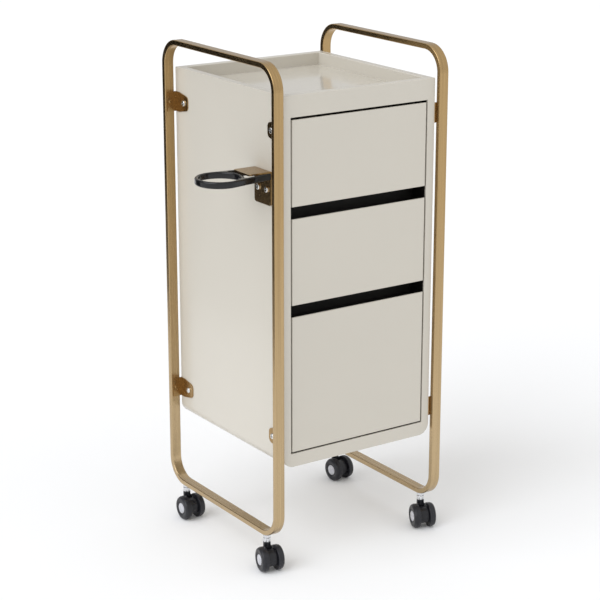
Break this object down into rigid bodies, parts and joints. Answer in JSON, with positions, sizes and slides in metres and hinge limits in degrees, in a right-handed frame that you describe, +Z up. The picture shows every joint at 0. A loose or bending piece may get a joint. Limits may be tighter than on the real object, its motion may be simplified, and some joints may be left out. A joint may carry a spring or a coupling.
{
  "type": "rolling drawer trolley",
  "caption": "Salon trolley: a lacquered drawer cabinet with a recessed top tray, hung between brass loop frames on swivel castors, with a ring on its side for a hair dryer.",
  "frame": {"origin": "on the floor, midway between the two side loops and between the front and back castor stems", "axes": "+Z up; -Y is the front, where the drawers open; +X is the trolley's right as seen from the front; the dryer ring is on -X"},
  "size_m": [0.5145, 0.392, 0.968],
  "materials": {
    "cream_lacquer": "satin lacquer over board",
    "drawer_board": "matt coated board",
    "black_channel": "matt black",
    "runner_steel": "zinc plated",
    "brushed_brass": "brushed antique brass",
    "satin_brass": "satin antique brass",
    "bright_screws": "bright",
    "gloss_black": "gloss black",
    "plated_steel": "bright plated",
    "wheel_black": "satin",
    "hood_black": "semi gloss",
    "cap_grey": "satin"
  },
  "bodies": {
    "frame": {"cabinet_wrap": "cream_lacquer", "front_rail": "cream_lacquer", "back_rail": "cream_lacquer", "tray_panel": "cream_lacquer", "back_panel": "cream_lacquer", "finger_channels": "black_channel", "runner_outer_members": "runner_steel", "loop_left": "brushed_brass", "loop_right": "brushed_brass", "ear_brackets_left": "satin_brass", "ear_brackets_right": "satin_brass", "panel_screws": "bright_screws", "frame_rivets": "satin_brass", "dryer_holder_bracket": "satin_brass", "dryer_holder_ring": "gloss_black", "castor_stems": "plated_steel", "castor_nuts": "plated_steel"},
    "drawer_top": {"drawer_top_front": "cream_lacquer", "drawer_top_sides": "drawer_board", "drawer_top_back": "drawer_board", "drawer_top_floor": "drawer_board", "drawer_top_runner_inner": "runner_steel"},
    "drawer_top_runner": {"drawer_top_runner_middle": "runner_steel"},
    "drawer_middle": {"drawer_middle_front": "cream_lacquer", "drawer_middle_sides": "drawer_board", "drawer_middle_back": "drawer_board", "drawer_middle_floor": "drawer_board", "drawer_middle_runner_inner": "runner_steel"},
    "drawer_middle_runner": {"drawer_middle_runner_middle": "runner_steel"},
    "drawer_bottom": {"drawer_bottom_front": "cream_lacquer", "drawer_bottom_sides": "drawer_board", "drawer_bottom_back": "drawer_board", "drawer_bottom_floor": "drawer_board", "drawer_bottom_runner_inner": "runner_steel"},
    "drawer_bottom_runner": {"drawer_bottom_runner_middle": "runner_steel"},
    "castor_front_left": {"castor_front_left_hood": "hood_black", "castor_front_left_axle": "plated_steel"},
    "castor_front_left_wheel_left": {"castor_front_left_wheel_left": "wheel_black", "castor_front_left_cap_left": "cap_grey"},
    "castor_front_left_wheel_right": {"castor_front_left_wheel_right": "wheel_black", "castor_front_left_cap_right": "cap_grey"},
    "castor_front_right": {"castor_front_right_hood": "hood_black", "castor_front_right_axle": "plated_steel"},
    "castor_front_right_wheel_left": {"castor_front_right_wheel_left": "wheel_black", "castor_front_right_cap_left": "cap_grey"},
    "castor_front_right_wheel_right": {"castor_front_right_wheel_right": "wheel_black", "castor_front_right_cap_right": "cap_grey"},
    "castor_back_left": {"castor_back_left_hood": "hood_black", "castor_back_left_axle": "plated_steel"},
    "castor_back_left_wheel_left": {"castor_back_left_wheel_left": "wheel_black", "castor_back_left_cap_left": "cap_grey"},
    "castor_back_left_wheel_right": {"castor_back_left_wheel_right": "wheel_black", "castor_back_left_cap_right": "cap_grey"},
    "castor_back_right": {"castor_back_right_hood": "hood_black", "castor_back_right_axle": "plated_steel"},
    "castor_back_right_wheel_left": {"castor_back_right_wheel_left": "wheel_black", "castor_back_right_cap_left": "cap_grey"},
    "castor_back_right_wheel_right": {"castor_back_right_wheel_right": "wheel_black", "castor_back_right_cap_right": "cap_grey"}
  },
  "joints": [
    {"name": "drawer_top_slide", "type": "slide", "parent": "frame", "child": "drawer_top", "axis": [0, -1, 0], "range_m": [0, 0.28]},
    {"name": "drawer_top_runner_slide", "type": "slide", "parent": "frame", "child": "drawer_top_runner", "axis": [0, -1, 0], "range_m": [0, 0.14]},
    {"name": "drawer_middle_slide", "type": "slide", "parent": "frame", "child": "drawer_middle", "axis": [0, -1, 0], "range_m": [0, 0.28]},
    {"name": "drawer_middle_runner_slide", "type": "slide", "parent": "frame", "child": "drawer_middle_runner", "axis": [0, -1, 0], "range_m": [0, 0.14]},
    {"name": "drawer_bottom_slide", "type": "slide", "parent": "frame", "child": "drawer_bottom", "axis": [0, -1, 0], "range_m": [0, 0.28]},
    {"name": "drawer_bottom_runner_slide", "type": "slide", "parent": "frame", "child": "drawer_bottom_runner", "axis": [0, -1, 0], "range_m": [0, 0.14]},
    {"name": "castor_front_left_swivel", "type": "hinge", "parent": "frame", "child": "castor_front_left", "pos_m": [-0.183, -0.149, 0.05], "axis": [0, 0, 1], "continuous": true},
    {"name": "castor_front_left_wheel_left_spin", "type": "hinge", "parent": "castor_front_left", "child": "castor_front_left_wheel_left", "pos_m": [-0.18586, -0.16372, 0.024], "axis": [0.9816, -0.1908, 0], "continuous": true},
    {"name": "castor_front_left_wheel_right_spin", "type": "hinge", "parent": "castor_front_left", "child": "castor_front_left_wheel_right", "pos_m": [-0.18586, -0.16372, 0.024], "axis": [0.9816, -0.1908, 0], "continuous": true},
    {"name": "castor_front_right_swivel", "type": "hinge", "parent": "frame", "child": "castor_front_right", "pos_m": [0.183, -0.149, 0.05], "axis": [0, 0, 1], "continuous": true},
    {"name": "castor_front_right_wheel_left_spin", "type": "hinge", "parent": "castor_front_right", "child": "castor_front_right_wheel_left", "pos_m": [0.17812, -0.16318, 0.024], "axis": [0.9455, -0.3256, 0], "continuous": true},
    {"name": "castor_front_right_wheel_right_spin", "type": "hinge", "parent": "castor_front_right", "child": "castor_front_right_wheel_right", "pos_m": [0.17812, -0.16318, 0.024], "axis": [0.9455, -0.3256, 0], "continuous": true},
    {"name": "castor_back_left_swivel", "type": "hinge", "parent": "frame", "child": "castor_back_left", "pos_m": [-0.183, 0.149, 0.05], "axis": [0, 0, 1], "continuous": true},
    {"name": "castor_back_left_wheel_left_spin", "type": "hinge", "parent": "castor_back_left", "child": "castor_back_left_wheel_left", "pos_m": [-0.18326, 0.134, 0.024], "axis": [0.9998, -0.0175, 0], "continuous": true},
    {"name": "castor_back_left_wheel_right_spin", "type": "hinge", "parent": "castor_back_left", "child": "castor_back_left_wheel_right", "pos_m": [-0.18326, 0.134, 0.024], "axis": [0.9998, -0.0175, 0], "continuous": true},
    {"name": "castor_back_right_swivel", "type": "hinge", "parent": "frame", "child": "castor_back_right", "pos_m": [0.183, 0.149, 0.05], "axis": [0, 0, 1], "continuous": true},
    {"name": "castor_back_right_wheel_left_spin", "type": "hinge", "parent": "castor_back_right", "child": "castor_back_right_wheel_left", "pos_m": [0.18379, 0.13402, 0.024], "axis": [0.9986, 0.0523, 0], "continuous": true},
    {"name": "castor_back_right_wheel_right_spin", "type": "hinge", "parent": "castor_back_right", "child": "castor_back_right_wheel_right", "pos_m": [0.18379, 0.13402, 0.024], "axis": [0.9986, 0.0523, 0], "continuous": true}
  ],
  "couplings": [
    {"joint": "drawer_top_runner_slide", "follows": "drawer_top_slide", "ratio": 0.5},
    {"joint": "drawer_middle_runner_slide", "follows": "drawer_middle_slide", "ratio": 0.5},
    {"joint": "drawer_bottom_runner_slide", "follows": "drawer_bottom_slide", "ratio": 0.5}
  ]
}
